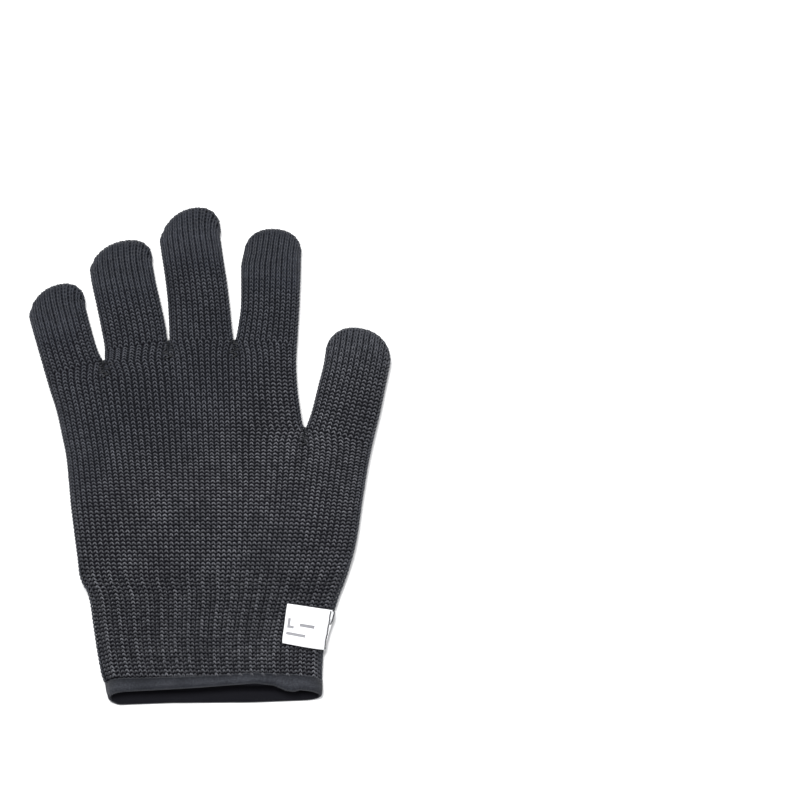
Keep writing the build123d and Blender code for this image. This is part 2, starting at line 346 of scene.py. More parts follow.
class Grid:
    """The middle surface of one knitted tube, sampled by wale and course."""

    def __init__(self, rows, ring, top, reach):
        self.rows, self.ring, self.top, self.reach = rows, ring, top, reach
        self.n = ring.shape[1] // (2 * SUB_U)  # wales on one face
        self.cols = ring.shape[1]
        du = np.roll(ring, -1, 1) - np.roll(ring, 1, 1)
        dv = np.gradient(ring, axis=0)
        # where a wale has ended at the tip, its last direction goes on
        flat = np.linalg.norm(dv, axis=2) < 1e-5
        for i in range(1, len(rows)):
            dv[i][flat[i]] = dv[i - 1][flat[i]]
        nrm = np.cross(du, dv)
        bad = np.linalg.norm(nrm, axis=2) < 1e-6
        nrm = unit(nrm)
        for i in range(1, len(rows)):
            nrm[i][bad[i]] = nrm[i - 1][bad[i]]
        self.nrm = nrm

    def at(self, u, v):
        """Points and normals at wale u (0 to 2n round the ring) and course v."""
        u, v = np.broadcast_arrays(np.asarray(u, float), np.asarray(v, float))
        cu = np.mod(u * SUB_U, self.cols)
        cv = np.clip((v - self.rows[0]) * SUB_V, 0, len(self.rows) - 1.001)
        i, j = np.floor(cv).astype(int), np.floor(cu).astype(int)
        fv, fu = (cv - i)[..., None], (cu - j)[..., None]
        j1 = (j + 1) % self.cols
        point, normal = ((1 - fv) * ((1 - fu) * a[i, j] + fu * a[i, j1])
                         + fv * ((1 - fu) * a[i + 1, j] + fu * a[i + 1, j1])
                         for a in (self.ring, self.nrm))
        return point, unit(normal)

    def wale_end(self, u):
        """The course where the wale at u ends in the round tip; the palm's wales run on."""
        if self.reach is None:
            return np.full(np.shape(u), np.inf)
        cu = np.mod(np.asarray(u, float) * SUB_U, self.cols)
        half = self.n * SUB_U
        front = np.interp(cu, np.arange(half + 1), self.reach[0])
        back = np.interp(2 * half - cu, np.arange(half + 1), self.reach[1])
        return self.top + np.where(cu <= half, front, back)


# ---- Yarn. Each course is one yarn that runs round the tube in loops; it is swept as a thin tube.
SIDES = 5          # corners of the knitting yarn's section
STEPS = 12         # samples along one stitch


class Piece:
    """Mesh strips gathered for one object: verts, quads, map, material slot and two measures."""

    def __init__(self):
        self.strips = []

    def add(self, verts, quads, uv, slot, front=1.0, tight=0.0):
        """front says how far out each vertex lies in the cloth, 0 at the bottom of a gap and 1 on
        top, and the yarn material darkens the gaps by it as painted shade; tight says how closely
        the stitches sit there."""
        one = np.ones(len(verts))
        self.strips.append((verts, quads, uv, slot, one * front, one * tight))

    def yarn(self, points, normals, radius, slot=0, closed=False, sides=6, front=1.0, tight=0.0):
        """Adds a yarn along the points; front and tight are given for each of them."""
        front, tight = (np.repeat(np.broadcast_to(a, len(points)), sides) for a in (front, tight))
        self.add(*sweep(points, normals, radius, closed, sides), slot, front, tight)


PIECES = {}


def piece(name):
    return PIECES.setdefault(name, Piece())


def tube_quads(m, n, along, around):
    """Quads and map of m bands of a tube with n rings, from the places along and round it."""
    k = len(around) - 1
    i, j = np.meshgrid(np.arange(m), np.arange(k), indexing="ij")
    i1, j1 = (i + 1) % n, (j + 1) % k
    quads = np.stack([i * k + j, i1 * k + j, i1 * k + j1, i * k + j1], -1)
    a0, a1, b0, b1 = along[i], along[i + 1], around[j], around[j + 1]
    uv = np.stack([a0, b0, a1, b0, a1, b1, a0, b1], -1)
    return quads.reshape(-1, 4), uv.reshape(-1, 4, 2)


def sweep(points, normals, radius, closed, sides):
    """A tube along points: vertices, quads and their (length in mm, share of a turn) map."""
    n = len(points)
    t = (np.roll(points, -1, 0) - np.roll(points, 1, 0) if closed
         else np.gradient(points, axis=0))
    t = unit(t)
    b = unit(np.cross(t, normals))
    c = np.cross(b, t)
    ang = np.arange(sides) / sides * 2 * pi
    r = np.broadcast_to(np.asarray(radius, float), (n,))
    verts = (points[:, None] + r[:, None, None] * (np.cos(ang)[None, :, None] * b[:, None]
             + np.sin(ang)[None, :, None] * c[:, None])).reshape(-1, 3)
    length = lengths(np.concatenate([points, points[:1]]))
    return verts, *tube_quads(n if closed else n - 1, n, length, np.arange(sides + 1) / sides)


def loop_shape(t, st):
    """One stitch seen from outside: across in wales, along in courses, depth. The loop's legs lie
    on the outside, its head and feet behind its neighbours."""
    a = t + st["alpha"] * np.sin(2 * tau * t) + st["kappa"] * np.sin(tau * t)
    b = -st["beta"] * np.cos(tau * t) + st["skew"] * np.sin(tau * t)
    d = -st["delta"] * np.cos(2 * tau * t)
    return a, b, d


def knit(grid, v_lo, v_hi, pick):
    """Lays every course of a tube between two courses. pick(u, point) names the piece of each
    stitch from its wale and place."""
    ring = 2 * grid.n
    t = np.arange(STEPS) / STEPS
    for vc in np.arange(v_lo, v_hi) + 0.5:
        idx = np.where(vc < grid.wale_end(np.arange(ring) + 0.5) - 0.25)[0]
        count = len(idx)
        if count < 2:
            continue
        u = idx + 0.5
        centre, _ = grid.at(u, vc)
        fold = np.minimum(np.minimum(u, ring - u), abs(u - grid.n))
        k = np.maximum(tightness(centre[:, 0], centre[:, 1]), 0.5 * (1 - smooth(0.6, 2.2, fold)))
        st = stitch_style(vc, k[:, None])
        dull = np.where(on_thumb(centre[:, 0], centre[:, 1]), 0.9, 1.7)
        tight = np.repeat(np.minimum(dull * k, 1)[:, None], STEPS, 1)
        across, along, depth = loop_shape(t[None], st)
        jit = rng.normal(0, 1, (count, 3))
        uu = idx[:, None] + across + 0.018 * jit[:, :1]
        vv = vc + along * (1 + 0.05 * jit[:, 1:2]) + 0.03 * jit[:, 2:3] + st["shift"](uu)
        depth = depth + st["relief"](uu)
        pts, nrm = grid.at(uu, vv)
        # underneath, the stitches lie pressed flat on the table
        pts = pts + nrm * depth[..., None] * (1 - 0.62 * np.clip(-nrm[..., 2:], 0, 1))
        # front: painted shade, darkest deep in the gaps and low in each loop, a little more where
        # the stitches sit tight
        lo, hi, by_depth, by_rise, least = st["front"]
        front = (by_depth * depth + by_rise * along / st["beta"] - lo) / (hi - lo)
        front = least + (1 - least) * smooth(0, 1, front)
        front = front * (1 - 0.2 * smooth(0.75, 1.0, k))[:, None]
        fields = (pts, nrm, np.repeat(st["r"], STEPS, 1), front, tight)
        names = [pick(ui, point) for ui, point in zip(u, centre)]
        # runs of stitches that belong to one piece
        cuts = [j for j in range(count) if names[j] != names[j - 1]]
        if not cuts:
            pts, nrm, r, front, tight = (a.reshape(-1, *a.shape[2:]) for a in fields)
            piece(names[0]).yarn(pts, nrm, r, 0, True, SIDES, front, tight)
        for j0, j1 in zip(cuts, cuts[1:] + cuts[:1]):
            run = np.arange(j0, j1 if j1 > j0 else j1 + count) % count
            pts, nrm, r, front, tight = (
                np.concatenate([a[run].reshape(-1, *a.shape[2:]), a[j1][:1]]) for a in fields)
            piece(names[j0]).yarn(pts, nrm, r, 0, False, SIDES, front, tight)


def shade_sheet(grid, v_lo, v_hi, pick, depth=0.5):
    """A dark closed layer just under the yarn, a sheet of painted shade, so nothing shows through
    the stitches.
    """
    ring = 2 * grid.n
    ends = grid.wale_end(np.arange(ring) + 0.5)
    cells = np.array([(i, c) for c in range(v_lo, v_hi) for i in range(ring)
                      if c - 0.98 <= ends[i]])
    u, v = cells[:, 0] + 0.5, cells[:, 1]
    tall = np.linalg.norm(grid.at(u, v + 0.02)[0] - grid.at(u, v + 0.98)[0], axis=1)
    cells = cells[tall > 0.02]
    centre, _ = grid.at(cells[:, 0] + 0.5, cells[:, 1] + 0.5)
    names = np.array([pick(i + 0.5, point) for (i, _), point in zip(cells, centre)])
    for name in np.unique(names):
        key = {}
        quads = np.array([[key.setdefault(((i + du) % ring, c + dv), len(key))
                           for du, dv in ((0, 0), (1, 0), (1, 1), (0, 1))]
                          for i, c in cells[names == name]])
        corners = np.array(list(key), float)
        p, n = grid.at(corners[:, 0], corners[:, 1])
        # at the folds the layer sits close under the yarn, so no light passes the outline
        verts = p - n * (0.3 + (depth - 0.3) * np.clip(1.4 * abs(n[:, 2:]) - 0.3, 0, 1))
        piece(name).add(verts, quads, corners[quads] * np.array([2.7, 1.7]), 1)


# ---- How the stitches sit in each part of the glove
def on_thumb(x, y):
    return (x > 44) & (y > 8)


def tightness(x, y):
    """How closely the stitches sit: 0 where the knit is drawn open (the heel of the hand, the
    thumb side and the cuff), 1 where the wales close up into smooth ribs."""
    line = np.interp(x, [-62, -50, -36, -5, 12, 30, 46, 90], [-50, -32, -18, -10, 0, 20, 34, 40])
    palm = 0.04 + 0.42 * smooth(-14, 44, y - line)
    tip = np.interp(x, [-66, -60, -30, -22, 8, 16], [83, 104, 104, 120, 120, 109.7])
    palm = palm + 0.54 * smooth(-38, -8, y - tip)
    return np.where(on_thumb(x, y), 0.12 + 0.68 * smooth(22, 62, y), palm)


def stitch_style(v, k):
    """The measures of a stitch in course v with tightness k."""
    rib = 1 - float(smooth(-2, 4, v))

    def relief(u):
        wave = np.cos(tau * (u - 0.5) / 3)
        twice = np.cos(2 * tau * (u - 0.5) / 3)
        plain = (0.20 + 0.10 * k) * np.cos(tau * (u - 0.5))
        return (1 - 0.5 * rib) * plain + rib * (0.50 * wave + 0.16 * twice)

    def shift(u):
        return 0.2 * rib * np.cos(tau * (u - 0.5) / 3)

    # front, the painted shade of the gaps: depths that count as bottom and top, weights of depth
    # and rise, and the least value
    return dict(alpha=0.10 * k, kappa=0.035 * k, beta=0.25 + 0.22 * k + 0.43 * k**3,
                delta=0.16 + 0.10 * k, skew=0.17 - 0.12 * k, r=0.44 + 0.15 * k**3,
                relief=relief, shift=shift,
                front=(-0.75, 0.45 + 0.24 * rib, 0.65 + 0.15 * k, 0.38 * (1 - k**3),
                       0.10 + 0.50 * k * k))


g_cuff = zone_grid(ORDER, V_MOUTH, 0)
g_palm5 = zone_grid(ORDER, 0, V_THUMB)
g_palm4 = zone_grid(ORDER[:4], V_THUMB, V_LITTLE)
g_palm3 = zone_grid(ORDER[1:4], V_LITTLE, V_FINGER)
g_tube = {name: zone_grid([name], TUBES[name].v0) for name in ORDER}

# where the panels of the palm and back meet: the wrist, across the palm, along the palm
WRIST_SPLIT, PALM_SPLIT, LANE_SPLIT = -45.5, 13, 6


def palm_pick(n):
    """Names the panel of a stitch in the palm, back or cuff; n is the zone's wales on one face."""
    def pick(u, p):
        side = "palm_side" if u < n else "back_side"
        if p[1] < WRIST_SPLIT:
            return "wrist_knit_" + side
        where = "heel" if p[1] < PALM_SPLIT else "upper"
        return f"knit_{side}_{where}_" + ("inner" if p[0] < LANE_SPLIT else "outer")
    return pick


ZONES = ((g_palm5, 0, V_THUMB), (g_palm4, V_THUMB, V_LITTLE), (g_palm3, V_LITTLE, V_FINGER))
for grid, v_lo, v_hi in ZONES:
    knit(grid, v_lo, v_hi, palm_pick(grid.n))
for grid, v_lo, v_hi in ZONES:
    shade_sheet(grid, v_lo, v_hi, palm_pick(grid.n))
knit(g_cuff, V_MOUTH, 0, palm_pick(UMAX))
shade_sheet(g_cuff, V_MOUTH, 0, palm_pick(UMAX), 0.8)

# where each knuckle lies and how far its bend reaches either side: y for the fingers, and for
# the thumb the place along its own axis
JOINTS = {
    "little": [(52.5, 4.8), (63.8, 4.6), (73.6, 4.0)],
    "ring": [(63.0, 6.3), (79.0, 6.3), (92.6, 5.6)],
    "middle": [(64.0, 7.0), (86.0, 7.0), (103.0, 6.5)],
    "index": [(64.0, 7.0), (82.5, 6.5), (97.0, 6.0)],
    "thumb": [(-10.0, 6.5), (9.0, 6.5)],
}
THUMB_LEAN = math.radians(13.2)
THUMB_O = np.array([68.7, 33.0])
THUMB_DIR = np.array([math.sin(THUMB_LEAN), math.cos(THUMB_LEAN)])
# the knitted parts of each, and the nodes that they stand for
PARTS = {name: {"root": ["finger_base", "finger_proximal"], "middle": ["finger_middle"],
                "tip": ["fingertip"]} for name in ORDER}
PARTS["thumb"] = {"root": ["base", "proximal"], "tip": ["tip"]}


def tube_pick(name):
    """Names the part of a stitch in a finger or the thumb."""
    joints, parts = JOINTS[name], list(PARTS[name])
    # a part ends midway between the end of one bend and the start of the next
    splits = [(a + ra + b - rb) / 2 for (a, ra), (b, rb) in zip(joints, joints[1:])]

    def pick(u, p):
        s = (p[:2] - THUMB_O) @ THUMB_DIR if name == "thumb" else p[1]
        return f"{name}_knit_{parts[np.searchsorted(splits, s, side='right')]}"
    return pick


for name in ORDER:
    reach = (TUBES[name].v0, shoulder(name) + DOME, tube_pick(name))
    knit(g_tube[name], *reach)
    shade_sheet(g_tube[name], *reach)

# the last yarn closes each tip along its outline
for name in ORDER:
    mid, w, e, tip = tip_axes(name)
    far = np.linalg.norm(tip)
    th = np.linspace(-0.25, pi + 0.25, 121)
    up = np.clip(np.sin(th), 0, 1) ** (2 / TIP_ROUND) * (far - SKIN)
    across = np.sign(np.cos(th)) * np.abs(np.cos(th)) ** (2 / TIP_ROUND) * w
    down = np.minimum(np.sin(th), 0) * 9.0
    back = tube_mid(name, shoulder(name) - 4) - mid
    back /= np.linalg.norm(back)
    line = mid - across[:, None] * e + (up / far)[:, None] * tip - down[:, None] * back
    h = float(half_height(shoulder(name), name == "thumb"))
    line = np.column_stack([line, np.full(len(line), h + INSET)])
    normals = np.zeros_like(line)
    normals[:, 2] = 1.0
    from_end = np.minimum(np.arange(121), np.arange(121)[::-1]) / 120
    # the closing yarn is painted a little shaded, with front at 0.75
    for lift in (0.42, -0.42):
        piece(name + "_knit_tip").yarn(line + normals * lift, normals,
                                       0.5 * np.minimum(1, 0.2 + 6 * from_end),
                                       front=0.75, tight=1.0)

# ---- Hem: a rolled band of fine overlock threads, with small loops along its edge
g_mouth = zone_grid(ORDER, V_MOUTH - 3, V_MOUTH)
shade_sheet(g_mouth, V_MOUTH - 2, V_MOUTH, palm_pick(UMAX), 0.8)
RING = 2 * UMAX


def hem_edges(u):
    """Courses of the hem's upper and lower edge round the ring: the band sits a little crooked."""
    p, _ = g_mouth.at(u, float(V_MOUTH))
    x, front = p[..., 0], smooth(4.5, 8.5, p[..., 2])
    rise = np.interp(x, [-49.6, -27, -5, 22, 40, 53.5], [-0.9, -0.5, 0.3, 1.9, 1.2, 0.4])
    tall = np.interp(x, [-50, -27, 0, 22, 31, 37, 41, 44, 54],
                     [6.4, 5.6, 5.0, 4.7, 5.3, 7.6, 8.0, 7.0, 6.6])
    tall_back = np.interp(x, [-50, -46, -40, -20, 20, 54], [6.4, 7.2, 6.9, 6.2, 5.9, 4.6])
    top = V_MOUTH + front * rise / COURSE
    return top, top - (front * tall + (1 - front) * tall_back) / COURSE


def pressed(normals):
    """Under the cuff the band lies pressed on the table."""
    return 1 - 0.25 * np.clip(-normals[..., 2], 0, 1)


# (share of the way down, depth) round the rolled section, outside first
OUTSIDE = 9
prof = np.array([(0.5 - 0.5 * math.cos(a), 0.75 * math.sin(a) ** 0.8 + 0.12)
                 for a in np.linspace(0, pi, OUTSIDE)]
                + [(0.5 + 0.5 * math.cos(a), -0.95 - 0.15 * math.sin(a))
                   for a in np.linspace(0, pi, 6)[1:-1]])
hu = np.arange(RING * 5) / 5.0
top, low = (edge[:, None] for edge in hem_edges(hu))
hp, hn = g_mouth.at(hu[:, None], top + (low - top) * prof[:, 0])
ripple = 0.06 * np.sin(hu * 2.3) + 0.05 * np.sin(hu * 0.71 + 2)
depth = prof[:, 1] + ripple[:, None] * np.sin(prof[:, 0] * pi)
hp = hp + hn * np.where(depth > 0, depth * pressed(hn), depth)[..., None]
around = np.append(lengths(prof * [5, 1]), 0)
around[-1] = around[-2] + 1.4
along = lengths(hp[:, 2])
along = np.append(along, 2 * along[-1] - along[-2])
quads, uv = (a[:, [0, 3, 2, 1]] for a in tube_quads(len(hu), len(hu), along, around))
# the inner half of the roll takes a darker material, painted shade inside the glove's mouth
slots = np.tile([0] * (OUTSIDE - 1) + [2] * (len(prof) - OUTSIDE + 1), len(hu))
piece("overlocked_hem").add(hp.reshape(-1, 3), quads, uv, slots)

# edge loops: a fine thread that wraps round the low edge again and again
n_turn = int(RING * 2.24 / 1.3)
turn = np.arange(n_turn * 8) / 8.0
eu = turn / n_turn * RING
_, low = hem_edges(eu)
turn = tau * turn
ep, en = g_mouth.at(eu + 0.1 * np.sin(turn), low + (0.35 - 0.42 * np.cos(turn)) * 0.55)
amp = 0.5 * (1 + 0.12 * np.sin(eu * 1.7))
ep = ep + en * ((amp * np.sin(turn) * 1.15 + 0.02) * pressed(en))[:, None]
piece("overlocked_hem").yarn(ep, en, 0.25, 1, True, 5)
# the top edge's locking thread, a low chain that holds the band to the rib
eu = np.arange(RING * 4) / 4.0
top, _ = hem_edges(eu)
ep, en = g_mouth.at(eu, top + 0.1 + 0.1 * np.sin(tau * eu))
ep = ep + en * (0.28 + 0.16 * np.cos(tau * eu))[:, None]
piece("overlocked_hem").yarn(ep, en, 0.26, 1, True, 5)

# elastic threads laid in behind the ribs
for row in range(7):
    eu = np.arange(RING * 3) / 3.0
    turn = tau * eu / 3
    ep, en = g_cuff.at(eu, -(4.7 + 7.0 * row) / COURSE + 0.12 * np.sin(turn))
    ep = ep - en * (0.9 + 0.1 * np.cos(turn))[:, None]
    piece("elastic_threads").yarn(ep, en, 0.3, closed=True)

# ---- Crotch stitches: a few tight wraps of yarn that close each fork
for x, y, lean, z, r in ((46.4, 11.9, 8.0, 6.4, 1.0), (11.9, 54.2, -1.0, 5.8, 0.95),
                         (-20.1, 53.9, -8.0, 5.8, 0.95), (-51.5, 44.2, -13.0, 6.0, 0.95)):
    lean = math.radians(lean)
    ax = np.array([math.sin(lean), math.cos(lean), 0.0])
    side = np.array([math.cos(lean), -math.sin(lean), 0.0])
    s = np.linspace(0, 1, 61)
    ang = s * 2 * pi * 3.5 + 0.7
    round_it = np.cos(ang)[:, None] * side
    for flip in (1, -1):
        pts = np.array([x, y, z]) + ax * ((s - 0.5) * 2.6 * flip)[:, None] + r * round_it
        pts[:, 2] += 2.9 * np.sin(ang) * (1 - 0.25 * abs(2 * s - 1))
        normals = round_it + np.array([0, 0, 1.0]) * np.sin(ang)[:, None]
        piece("crotch_stitches").yarn(pts, normals, 0.42)

# and the darning below each fork, on both faces, where the ends are drawn together
for grid, u_fork, v_fork in ((g_palm5, 42, V_THUMB), (g_palm4, 10, V_LITTLE),
                             (g_palm3, 10, V_FINGER), (g_palm3, 21, V_FINGER)):
    for u0, out in ((u_fork, 0.62), (2 * grid.n - u_fork, 0.1)):
        s = np.linspace(-1, 1, 15)
        for i in range(6):
            wide = (1.35 - 0.12 * i) * (1 + 0.15 * rng.normal())
            uu = u0 + 0.15 * rng.normal() + wide * s
            vv = v_fork - 0.7 - 0.80 * i + (0.55 if i % 2 else -0.45) * s + 0.1 * rng.normal()
            pts, up = grid.at(uu, vv)
            pts = pts + up * (out + 0.28 * (i % 2) - 1.1 * abs(s) ** 6)[:, None]
            piece("crotch_stitches").yarn(pts, up, 0.42)

# ---- Size label: a woven tape folded round the thumb side of the cuff
lab_u = UMAX - np.arange(-3.0, 14.001, 0.125)  # from behind the edge to the label's left
lab_v = np.arange(V_MOUTH + 1, -1, 0.25)
LP, LN = g_cuff.at(lab_u[None], lab_v[:, None])
ARC = np.stack([lengths(row) for row in LP])
ARC -= ARC[:, [np.argmin(abs(lab_u - UMAX))]]  # 0 on the edge, positive on the palm side


def on_cuff(a, y):
    """Points and normals on the cuff at distance a from its thumb side edge, at height y."""
    found = []
    for ai, yi in zip(np.ravel(a), np.ravel(y)):
        heights = [np.interp(ai, arc, row[:, 1]) for arc, row in zip(ARC, LP)]
        f = np.interp(yi, heights, np.arange(len(lab_v)))
        r = min(int(f), len(lab_v) - 2)
        t = f - r
        found.append([resample(ai, ARC[r], field[r]) * (1 - t)
                      + resample(ai, ARC[r + 1], field[r + 1]) * t for field in (LP, LN)])
    found = np.array(found).reshape(*np.shape(a), 2, 3)
    return found[..., 0, :], unit(found[..., 1, :])


# corners: distance from the cuff's edge and height, left then right
LAB_TOP = (24.9, -71.5, -0.9, -75.2)
LAB_LOW = (21.6, -90.3, -0.1, -94.4)


def label_point(p, q, lift=0.0):
    """p runs 0 to 1 from the left edge to the fold, q from the lower edge to the top."""
    al, yl, ar, yr = (lo + (hi - lo) * q for lo, hi in zip(LAB_LOW, LAB_TOP))
    pt, n = on_cuff(al + (ar - al) * p, yl + (yr - yl) * p)
    # the free edges lift: the lower one most, the left one a little; the seam holds the right
    free = (1 - smooth(0.5, 0.95, p))
    rise = (1.75 + 1.2 * (1 - smooth(0.0, 0.55, q)) * (0.35 + 0.65 * free)
            + 0.35 * (1 - smooth(0, 0.3, p)) + 0.25 * np.sin(p * 5.0 + 0.6) * free * (1 - q))
    up = unit(n * 0.6 + np.array([0, 0, 0.4]) * smooth(2, 8, pt[..., 2])[..., None])
    return pt + up * (rise + lift)[..., None], up


NP, NQ = 30, 24
LABEL_THICK = 0.28
LABEL_FLAT = (25.0, 20.0)
pp, qq = np.meshgrid(np.linspace(0, 1, NP), np.linspace(0, 1, NQ))
top, up = label_point(pp, qq)
low = top - up * LABEL_THICK
at = np.arange(NP * NQ).reshape(NQ, NP)
face = np.stack([at[:-1, :-1], at[:-1, 1:], at[1:, 1:], at[1:, :-1]], -1).reshape(-1, 4)
rim = np.concatenate([at[0], at[1:, -1], at[-1, -2::-1], at[-2:0:-1, 0]])
turned = np.roll(rim, -1)
rim = np.stack([turned, rim, rim + NP * NQ, turned + NP * NQ], -1)
quads = np.concatenate([face, face[:, ::-1] + NP * NQ, rim])
tape = np.stack([pp.ravel(), qq.ravel()], 1) * LABEL_FLAT
tape = np.concatenate([tape, tape + np.array([0, 24.0])])
piece("size_label_tape").add(np.concatenate([top.reshape(-1, 3), low.reshape(-1, 3)]), quads,
                             tape[quads], 0)

# the seam: short stitches that run along the label's fold
STITCHES = 11
for i in range(STITCHES):
    s = np.linspace(0, 1, 9)
    q = 0.02 + i * 0.96 / STITCHES + s * 0.076
    p = 0.955 - 0.115 * q + 0.004 * math.sin(i * 1.9)
    arch = np.sin(s * pi)
    pts, up = label_point(p, q, 0.12 + 0.22 * arch - 0.2 * (1 - arch) ** 4)
    piece("label_seam_thread").yarn(pts, up, 0.31)
# its loose end, a small curl past the top of the seam
s = np.linspace(0, 1, 24)
pts, up = label_point(0.875 + 0.08 * np.sin(s * 2.6), 0.99 - 0.36 * s + 0.05 * np.sin(s * 9),
                      0.3 + 0.1 * np.sin(s * 7))
piece("label_seam_thread").yarn(pts, up, 0.27)


# ---- Meshes
def bake_map(strips):
    """A map for baking without overlaps: each yarn laid out as rows of a tape, sheets whole."""
    spans = [np.ptp(uv, axis=(0, 1)) for _, _, uv, *_ in strips]
    is_yarn = [span[1] <= 1.001 for span in spans]
    tall = [2.9 if yarn else span[1] + 0.6 for yarn, span in zip(is_yarn, spans)]
    area = sum((span[0] + 2.0) * t for span, t in zip(spans, tall))
    wide = max([math.sqrt(area) * 1.03]
               + [span[0] + 1 for yarn, span in zip(is_yarn, spans) if not yarn])
    out, x0, y0, row_h = [], 0.0, 0.0, 0.0
    for (_, _, uv, *_), span, t, yarn in zip(strips, spans, tall, is_yarn):
        x, y = np.moveaxis(uv - uv.min(axis=(0, 1)), -1, 0)
        if x0 > 0 and (t > row_h + 1e-6 or not yarn):
            y0, x0, row_h = y0 + row_h, 0.0, 0.0
        if yarn:
            row_h = max(row_h, t)
            row = np.floor((x0 + x[:, :1]) / wide)
            out.append(np.stack([x0 + x - row * wide, y0 + row * t + (0.06 + 0.88 * y) * t], -1))
            end = x0 + span[0] + 1.0
            y0 += math.floor(end / wide) * t
            x0 = end % wide
        else:
            out.append(np.stack([x, y0 + 0.3 + y], -1))
            y0 += t
            row_h = 0.0
    out = np.concatenate(out)
    out[..., 0] /= max(wide * 1.02, out[..., 0].max() * 1.001)
    out[..., 1] /= max(y0 + row_h, out[..., 1].max() * 1.001)
    return out


def build(name, materials):
    """One object from its gathered strips, with a map along the yarn and a bake map."""
    strips = PIECES[name].strips
    verts, quads, uvs, slots, front, tight = zip(*strips)
    first = np.cumsum([0] + [len(v) for v in verts])
    slots = np.concatenate([np.zeros(len(q), int) + s for q, s in zip(quads, slots)])
    verts = np.concatenate(verts) * 0.001
    quads = np.concatenate([q + base for q, base in zip(quads, first)])
    mesh = bpy.data.meshes.new(name)
    mesh.vertices.add(len(verts))
    mesh.vertices.foreach_set("co", verts.astype(np.float32).ravel())
    mesh.loops.add(len(quads) * 4)
    mesh.loops.foreach_set("vertex_index", quads.astype(np.int32).ravel())
    mesh.polygons.add(len(quads))
    mesh.polygons.foreach_set("loop_start", np.arange(0, len(quads) * 4, 4, dtype=np.int32))
    mesh.polygons.foreach_set("material_index", slots.astype(np.int32))
    mesh.update(calc_edges=True)
    for label, data in (("Yarn", np.concatenate(uvs)), ("OFBake", bake_map(strips))):
        layer = mesh.uv_layers.new(name=label)
        layer.data.foreach_set("uv", data.astype(np.float32).ravel())
    for label, data in (("front", front), ("tight", tight)):
        layer = mesh.attributes.new(label, "FLOAT", "POINT")
        layer.data.foreach_set("value", np.concatenate(data).astype(np.float32))
    mesh.shade_smooth()
    for mat in materials:
        mesh.materials.append(mat)
    obj = bpy.data.objects.new(name, mesh)
    bpy.context.collection.objects.link(obj)
    return obj


# ---- Materials
class Nodes:
    """A material and short ways to add nodes to it."""

    def __init__(self, name):
        self.mat = bpy.data.materials.new(name)
        self.mat.use_nodes = True
        self.nt = self.mat.node_tree
        self.nt.nodes.clear()
        out = self.new("ShaderNodeOutputMaterial")
        self.bsdf = self.new("ShaderNodeBsdfPrincipled")
        self.link(self.bsdf.outputs[0], out.inputs[0])

    def new(self, kind, **props):
        node = self.nt.nodes.new(kind)
        for key, value in props.items():
            setattr(node, key, value)
        return node

    def link(self, a, b):
        self.nt.links.new(a, b)

    def feed(self, sock, value):
        """Sets a socket to a number or a colour, or links it to another socket."""
        if isinstance(value, (int, float)):
            sock.default_value = value
        elif isinstance(value, tuple):
            sock.default_value = (*value, 1)
        else:
            self.link(value, sock)

    def math(self, op, *values):
        node = self.new("ShaderNodeMath", operation=op)
        for sock, value in zip(node.inputs, values):
            self.feed(sock, value)
        return node.outputs[0]

    def add(self, a, b):
        return self.math("ADD", a, b)

    def mul(self, a, b):
        return self.math("MULTIPLY", a, b)

    def vary(self, value, by, gain):
        """Moves a value up and down by a noise that is 0.5 on average."""
        return self.add(value, self.mul(self.math("SUBTRACT", by, 0.5), gain))

    def ridges(self, value):
        """Rounded ridges, one for each whole number of the value."""
        return self.math("ABSOLUTE", self.math("SINE", self.mul(value, pi)))

    def ramp(self, fac, stops):
        node = self.new("ShaderNodeValToRGB")
        el = node.color_ramp.elements
        while len(el) < len(stops):
            el.new(0.5)
        for e, (pos, col) in zip(el, stops):
            e.position = pos
            e.color = (*col, 1)
        self.link(fac, node.inputs[0])
        return node.outputs[0]

    def mix(self, fac, a, b, blend="MIX"):
        node = self.new("ShaderNodeMix", data_type="RGBA", blend_type=blend)
        for i, value in ((0, fac), (6, a), (7, b)):
            self.feed(node.inputs[i], value)
        return node.outputs[2]

    def noise(self, vector, scale, detail=2.0, rough=0.5):
        node = self.new("ShaderNodeTexNoise")
        self.link(vector, node.inputs["Vector"])
        for label, value in (("Scale", scale), ("Detail", detail), ("Roughness", rough)):
            node.inputs[label].default_value = value
        return node.outputs["Fac"]

    def place(self):
        return self.new("ShaderNodeTexCoord").outputs["Object"]

    def attribute(self, name):
        return self.new("ShaderNodeAttribute", attribute_name=name).outputs["Fac"]

    def yarn_map(self):
        """The map along the yarn in mm: as a vector, the way along, the way round."""
        uv = self.new("ShaderNodeUVMap", uv_map="Yarn").outputs[0]
        sep = self.new("ShaderNodeSeparateXYZ")
        self.link(uv, sep.inputs[0])
        return uv, sep.outputs[0], sep.outputs[1]

    def bump(self, height, strength, distance):
        node = self.new("ShaderNodeBump")
        node.inputs["Strength"].default_value = strength
        node.inputs["Distance"].default_value = distance
        self.link(height, node.inputs["Height"])
        self.link(node.outputs[0], self.bsdf.inputs["Normal"])

    def set(self, **values):
        for key, value in values.items():
            self.feed(self.bsdf.inputs[key.replace("_", " ")], value)


